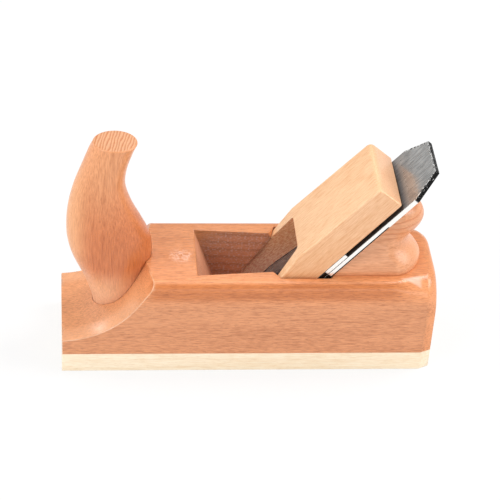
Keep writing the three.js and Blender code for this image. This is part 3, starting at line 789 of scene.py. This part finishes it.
def wear_and_paint_light(finish, hollow):
    """Where the body is duller or smoother: the rubbed patch, the heel's corners with a painted
    highlight on each, and the hollow, which is dull in its middle with painted shade toning down
    its sheen, and shiny beside with a painted highlight."""
    x, y, z = finish.x, finish.y, finish.z
    half = y.size()
    from_spot = ((x - RUBBED_SPOT[0]) ** 2 + (y - RUBBED_SPOT[1]) ** 2) ** 0.5
    streak = finish.noise(finish.point(x * 280, y * 1300, 0), detail=1).step(0.4, 0.55)
    rubbed = streak * from_spot.fall(RUBBED_CORE * RUBBED_RADIUS, RUBBED_RADIUS)
    corner = x.step(*CORNER_START) * half.step(*CORNER_INNER_SIDE) * z.step(*CORNER_FOOT)

    depth = (x - HEEL_HIGHLIGHT_START) * HEEL_HIGHLIGHT_SPREAD - (half - HEEL_HIGHLIGHT_MIDDLE).size()
    heel_highlight = depth.step(*HEEL_HIGHLIGHT_EDGE) * x.fall(*HEEL_HIGHLIGHT_END) * z.step(*HEEL_HIGHLIGHT_FOOT)
    # Painted highlight: a pale patch on each heel corner, widening towards the heel's face.
    finish.cover(heel_highlight * 0.42, "#ffdccc")
    dull_and_shaded = hollow * half.fall(*DULL_HALF)
    # Painted shade: the middle of the hollow is tinted warmer, toning down its sheen.
    finish.tint(dull_and_shaded * 0.2, "#fce0b4")
    shiny_and_highlit = (hollow - dull_and_shaded) * z.fall(*SHINE_TOP)
    # Painted highlight: the shiny band of the hollow beside its middle is brightened.
    finish.cover(shiny_and_highlit * 0.2, "#ffc8a0")

    duller = dull_and_shaded * 0.6 + heel_highlight * 0.5
    smoother = shiny_and_highlit * 0.15 + rubbed * 0.75 + corner * 0.3
    finish.polish(finish.roughness * (1 + duller - smoother))


def horn_wood():
    """Beech for the horn: paler at its foot, with a painted highlight along its front and painted
    shade on its sides further back, and its rings drawn dark on the end grain."""
    finish = wood("horn_beech", UPRIGHT, ALONG_BODY, ("#eea674", "#bd7444", "#9c5a2d"),
                  flecks=0.15, mottle=0.6, length=4)
    x, y, z = finish.x, finish.y, finish.z
    shaded_belly = z.between(BELLY_FOOT, BELLY_TOP) * x.step(*BELLY_FRONT)
    # Painted shade on the horn's sides further back.
    finish.tint(shaded_belly, "#e4c2a8")
    lit_breast = z.step(*BREAST_FOOT) * x.fall(*BREAST_REAR)
    # Painted highlight along the horn's front.
    finish.cover(lit_breast * 0.22, "#f8c890")
    finish.cover(z.fall(*HORN_FOOT_TOP) * 0.4, "#fcdcc0")
    waver = finish.noise(finish.point(x * 260, y * 60, 0))
    line = (x / HORN_LAYER - y * 120 + waver * 1.6).part()
    end_grain = finish.turned_to(UPRIGHT).step(0.9, 0.97)
    finish.cover(end_grain * 0.45, "#dcb48e")
    finish.tint(end_grain * line.between((0.3, 0.8), (0.85, 1.0)), "#e6ba94")
    return finish


def rest_wood():
    """Beech for the hand rest, with a few late rings cut through by the knob."""
    finish = wood("rest_beech", ALONG_BODY, UPRIGHT, ("#f0ad80", "#b9703f", "#ac6a3c"),
                  ring=3.2 * MM, flecks=0.05, mottle=0.4, length=2)
    x, y, z = finish.x, finish.y, finish.z
    waver = finish.noise(finish.point(x * 60, y * 60, z * 60))
    layer = (z / KNOB_LAYER - x * 40 + waver * 1.4).part()
    line = layer.between((0.5, 0.85), (0.87, 1.0))
    finish.tint(z.step(*KNOB_FOOT) * line, "#f2dcc8")
    return finish


def fork_wood():
    """Paler beech for the wedge, with painted shade in patches on the inner sides of its prongs
    and painted light low inside them, and painted shade on its outer sides, its end and its
    underside.
    """
    finish = wood("wedge_beech", UP_THE_BED, OFF_THE_BED, ("#f8cea1", "#df9f68", "#c98d58"),
                  rings=0.2, flecks=0.2, mottle=0.6, length=3)
    within = finish.y.size().fall(*PRONG_INNER_SIDE)
    inside = within * finish.sideways
    outside = (1 - within) * finish.sideways
    up, off = finish.along(UP_THE_BED), finish.along(OFF_THE_BED)
    patch_noise = finish.noise(finish.point(up * 500, 0, off * 1300))
    # Painted light: the prongs' inner sides are brightened low down, deep in the well.
    finish.cover(inside * finish.z.fall(*PRONG_DEEP) * 0.8, "#ffdac0")
    # Painted shade: the prongs' inner sides are darkened in noise patches.
    finish.tint(inside * patch_noise.step(0.4, 0.6), "#ecccc6")
    # Painted shade: the wedge's outer sides are darker than its top, and darker still low down.
    finish.tint(outside, "#f8f1f1")
    finish.tint(outside * finish.z.fall(*PRONG_LOW), "#fcf3e8")
    # Painted shade: the wedge's end is toned down.
    finish.tint(finish.turned_to(UP_THE_BED).step(*FULL_ON), "#fff5f7")
    # Painted shade: the wedge's underside is darkened, and with it its reflection in the iron.
    shaded_underside = (finish.turned_to(OFF_THE_BED) * -1).step(*FULL_ON)
    finish.tint(shaded_underside, "#94705c")
    return finish


def iron_finish():
    """Steel for the iron: its face duller, with painted shade, where the wedge covers it and a
    painted shadow of the wedge just past that, its top's edges black with light specks, and the
    arris of the shoulders chipped bright."""
    finish = brushed_steel("iron_steel", ("#949493", "#c8c8c6"), sheen=0.2, bright_past=REFLECTION_PAST)
    u = finish.along(UP_THE_BED) - FOOT_UP
    v = finish.y.size()
    off = finish.along(OFF_THE_BED)
    face = finish.turned_to(OFF_THE_BED).step(*FULL_ON)
    # Painted shade where the wedge covers the face, and a painted shadow of the wedge fading 17 mm
    # past its end.
    finish.tint(face * u.fall(*band(COVERED_TO, 0, 0.5)), "#a0978f")
    finish.tint(face * u.fall(*band(COVERED_TO, 0, 17)), "#dcd4d0")
    shaded = (off - FOOT_OFF).fall(*SHADE_EDGE) * u.fall(*band(SHADED_TO, 0, 1))
    finish.cover(shaded * finish.sideways, "#1a1512")

    edge = finish.turned_to(OFF_THE_BED).size().fall(*SQUARE_ON)
    # The edges of the iron's top are black, with light specks.
    black_top_edges = edge * u.step(*band(BLACK_PAST, 0, 1))
    finish.cover(black_top_edges, "#121212")
    fleck = finish.noise(finish.point(u * 1300, v * 1300, off * 900), detail=1)
    finish.cover(black_top_edges * fleck.step(0.66, 0.7), "#b4b4b2")

    slope = math.hypot(SHOULDER_LENGTH, SHOULDER_INSET)
    below = IRON_TOP - u
    to_shoulder = (below * SHOULDER_INSET + (IRON_TOP_HALF - v) * SHOULDER_LENGTH) / slope
    near = face * to_shoulder.least(below).fall(*CHIPS_REACH)
    chip = finish.noise(finish.point(u * 700, v * 700, 0), detail=1)
    finish.cover(near * chip.step(0.5, 0.55), "#f2f2f0")
    finish.cover(near * chip.fall(0.42, 0.46), "#1c1c1c")

    oiled = face * u.fall(*band(COVERED_TO, 0, 10))
    finish.give("Metallic", STEEL_METALLIC - oiled * 0.45)
    finish.polish(finish.roughness + black_top_edges * 0.4 + oiled * 0.2)
    return finish


stock_beech = stock_wood()
horn_beech = horn_wood()
rest_beech = rest_wood()
pale_hornbeam = wood("pale_hornbeam", ALONG_BODY, UPRIGHT, ("#fdeed4", "#ecd0a8", "#d8b084"),
                     rings=0.6, flecks=0.25, mottle=0.55, length=3)
wedge_beech = fork_wood()
dowel_beech = wood("dowel_beech", UPRIGHT, ALONG_BODY, ("#f0c493", "#cf935d", "#b57a48"), ring=2 * MM)
iron_steel = iron_finish()
cap_steel = brushed_steel("cap_steel", ("#7d7e80", "#b0b0b0"), bright_past=REFLECTION_PAST)
screw_steel = brushed_steel("screw_steel", ("#6f7072", "#9a9b9d"))

dressed("stock_body", "stock", stock_beech, "plane_body", STOCK_ARRIS, stock_arrises)
dressed("sole_strip", "sole", pale_hornbeam, "plane_body", SMALL_ARRIS, sole_arrises)
piece("horn_grip", horn_mesh(), horn_beech, "plane_body", "horn")
dressed("rest_grip", "hand_rest", rest_beech, "plane_body", SMALL_ARRIS, rest_arrises)
dressed("strike_knob", "strike_button", pale_hornbeam, "plane_body", SMALL_ARRIS)
for peg in ("horn_dowel", "rest_dowel_front", "rest_dowel_rear"):
    dressed(peg + "_peg", peg, dowel_beech, "plane_body", SMALL_ARRIS)
dressed("blade_iron", "iron", iron_steel, "blade", STEEL_ARRIS)
dressed("breaker", "cap_iron", cap_steel, "cap", STEEL_ARRIS)
dressed("breaker_nut", "cap_nut", screw_steel, "cap", STEEL_ARRIS)
dressed("breaker_screw", "cap_screw", screw_steel, "screw", STEEL_ARRIS)
dressed("forked_wedge", "wedge", wedge_beech, "fork_wedge", WEDGE_ARRIS,
        wedge_arrises)


# ---------------------------------------------------------------- floor, light and camera

def make_floor():
    """A wide pale floor that takes the object's shadow near by, and only glows far off."""
    near, far = -FLOOR_REACH, FLOOR_REACH
    corners = [(near, near, 0), (far, near, 0), (far, far, 0), (near, far, 0)]
    mesh = bpy.data.meshes.new("floor_sheet")
    mesh.from_pydata(corners, [], [(0, 1, 2, 3)])
    floor = bpy.data.objects.new("floor", mesh)
    bpy.context.scene.collection.objects.link(floor)
    finish = Finish("floor_paper", {"Roughness": 0.9})
    finish.give("Base Color", tone("#ededed"))
    seen, glossy, through = (
        finish.node("ShaderNodeLightPath", out=f"Is {ray} Ray")
        for ray in ("Camera", "Glossy", "Transmission")
    )
    glow = finish.node("ShaderNodeEmission", None, {"Color": WHITE, "Strength": 1.0})
    x, y = finish.x, finish.y
    far_off = ((x * x + y * y) ** 0.5).step(*FLOOR_GLOW_BAND)
    share = far_off * (1 - FLOOR_NEAR_GLOW) + FLOOR_NEAR_GLOW
    blend = finish.node("ShaderNodeMixShader", None, {
        0: seen.most(glossy).most(through) * share, 1: finish.shader.outputs[0], 2: glow,
    })
    finish.feed(finish.tree.nodes["Material Output"].inputs["Surface"], blend)
    mesh.materials.append(finish.material)


def make_world():
    """Even light from all round, and white where the camera looks past the floor."""
    world = bpy.data.worlds.new("studio")
    bpy.context.scene.world = world
    world.use_nodes = True
    nodes = Nodes(world.node_tree)
    ambient = nodes.tree.nodes["Background"]
    ambient.inputs["Color"].default_value = WHITE
    ambient.inputs["Strength"].default_value = AMBIENT
    white = nodes.node("ShaderNodeBackground", None, {"Color": WHITE})
    seen = nodes.node("ShaderNodeLightPath", out="Is Camera Ray")
    mixed = nodes.node("ShaderNodeMixShader", None, {0: seen, 1: ambient.outputs[0], 2: white})
    nodes.feed(nodes.tree.nodes["World Output"].inputs["Surface"], mixed)


def softbox(name, place, width, height, watts):
    """A large soft lamp that looks at the middle of the object."""
    lamp = bpy.data.lights.new(name, "AREA")
    lamp.shape = "RECTANGLE"
    lamp.size = width
    lamp.size_y = height
    lamp.energy = watts
    box = bpy.data.objects.new(name, lamp)
    box.location = place
    toward = (cad_box[0] + cad_box[1]) / 2 - Vector(place)
    box.rotation_mode = "QUATERNION"
    box.rotation_quaternion = toward.to_track_quat("-Z", "Y")
    bpy.context.scene.collection.objects.link(box)


def make_camera():
    """The camera, turned in its place: rolled, tipped down from level, then turned about Z."""
    lens = bpy.data.cameras.new("camera")
    lens.lens = CAMERA_LENS
    camera = bpy.data.objects.new("camera", lens)
    turn = Matrix.Rotation(math.radians(-CAMERA_YAW), 4, "Z")
    tip = Matrix.Rotation(math.radians(90 - CAMERA_PITCH), 4, "X")
    roll = Matrix.Rotation(math.radians(CAMERA_ROLL), 4, "Z")
    camera.matrix_world = Matrix.Translation(CAMERA_PLACE) @ turn @ tip @ roll
    bpy.context.scene.collection.objects.link(camera)
    bpy.context.scene.camera = camera


make_floor()
make_world()
for lamp_name, *lamp_values in LAMPS:
    softbox(lamp_name, *lamp_values)
make_camera()
bpy.context.scene.view_settings.view_transform = "Standard"
